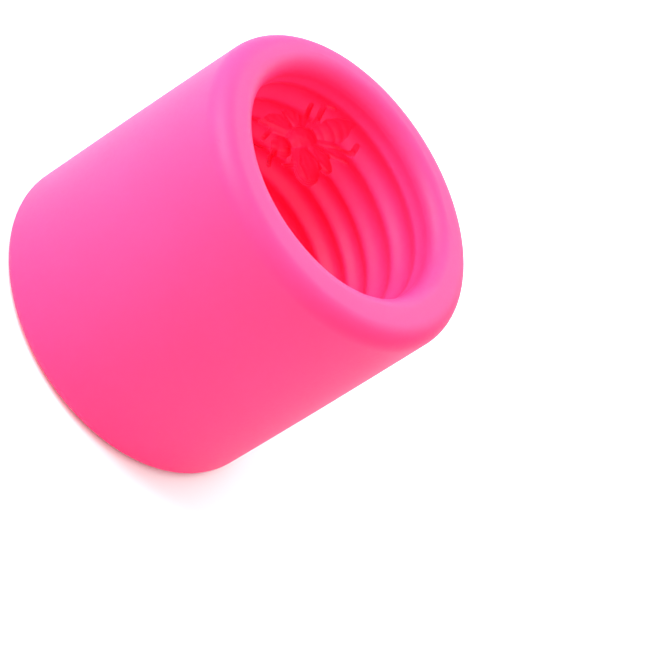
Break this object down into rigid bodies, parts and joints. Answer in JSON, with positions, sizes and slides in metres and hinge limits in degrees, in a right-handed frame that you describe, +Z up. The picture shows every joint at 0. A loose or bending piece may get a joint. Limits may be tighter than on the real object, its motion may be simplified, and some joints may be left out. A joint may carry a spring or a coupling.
{
  "type": "candle mold",
  "caption": "Thick-walled one-piece soft mold, a rounded upright cylinder open at the top, whose cavity casts a coiled straw-hive candle with bees in relief.",
  "frame": {"origin": "centre of the flat underside, on the axis of the outer wall", "axes": "+Z up out of the mouth; the axis of the cavity lies off the axis of the outer wall, 1.4 mm towards +Y and 1.1 mm towards -X"},
  "size_m": [0.0938, 0.0938, 0.0848],
  "materials": {
    "pink_silicone": "satin"
  },
  "bodies": {
    "root": {"mold_body": "pink_silicone"}
  },
  "joints": []
}
